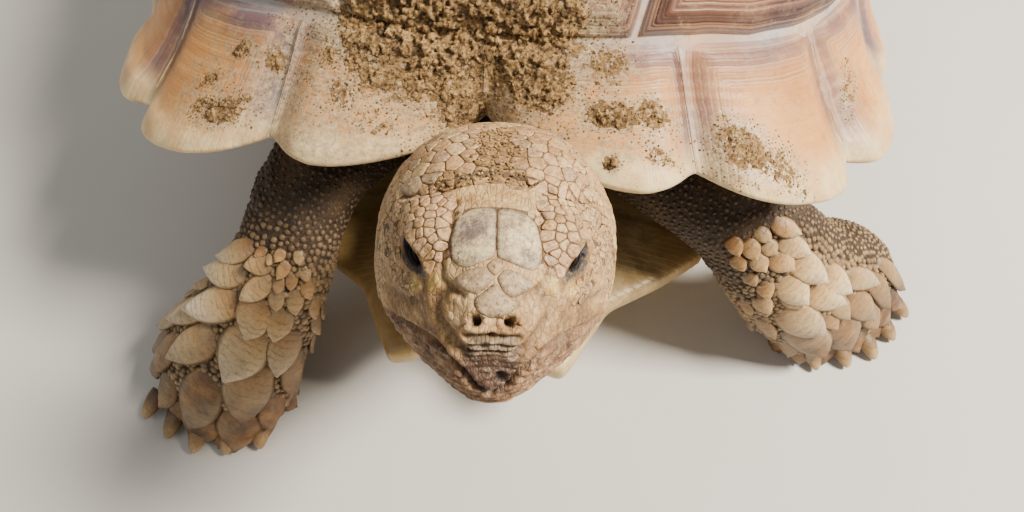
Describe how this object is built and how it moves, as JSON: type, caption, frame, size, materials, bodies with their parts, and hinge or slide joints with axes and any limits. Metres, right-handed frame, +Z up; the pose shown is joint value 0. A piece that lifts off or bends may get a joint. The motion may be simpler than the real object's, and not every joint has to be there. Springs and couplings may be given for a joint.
{
  "type": "sulcata tortoise",
  "caption": "Life-size still model of a grown sulcata tortoise walking, head raised, with raised scutes, leg scales and spurs.",
  "frame": {"origin": "on the ground under the middle of the animal's bounding box", "axes": "+Z up, the head points along -Y, the animal's left side is +X"},
  "size_m": [0.4058, 0.5966, 0.2745],
  "materials": {
    "shell": "worn horn scutes, tan with darker growth rings and pale rims",
    "plastron": "pale cream horn with brown stains",
    "skin": "dry scaly skin, tan to grey-brown",
    "eye": "wet black"
  },
  "bodies": {
    "root": {"carapace": "shell", "plastron": "plastron", "torso": "skin", "neck": "skin", "head": "skin", "lower_jaw": "skin", "eye_left": "eye", "eye_right": "eye", "upper_arm_left": "skin", "upper_arm_right": "skin", "forearm_left": "skin", "forearm_right": "skin", "hind_leg_left": "skin", "hind_leg_right": "skin", "tail": "skin"}
  },
  "joints": []
}
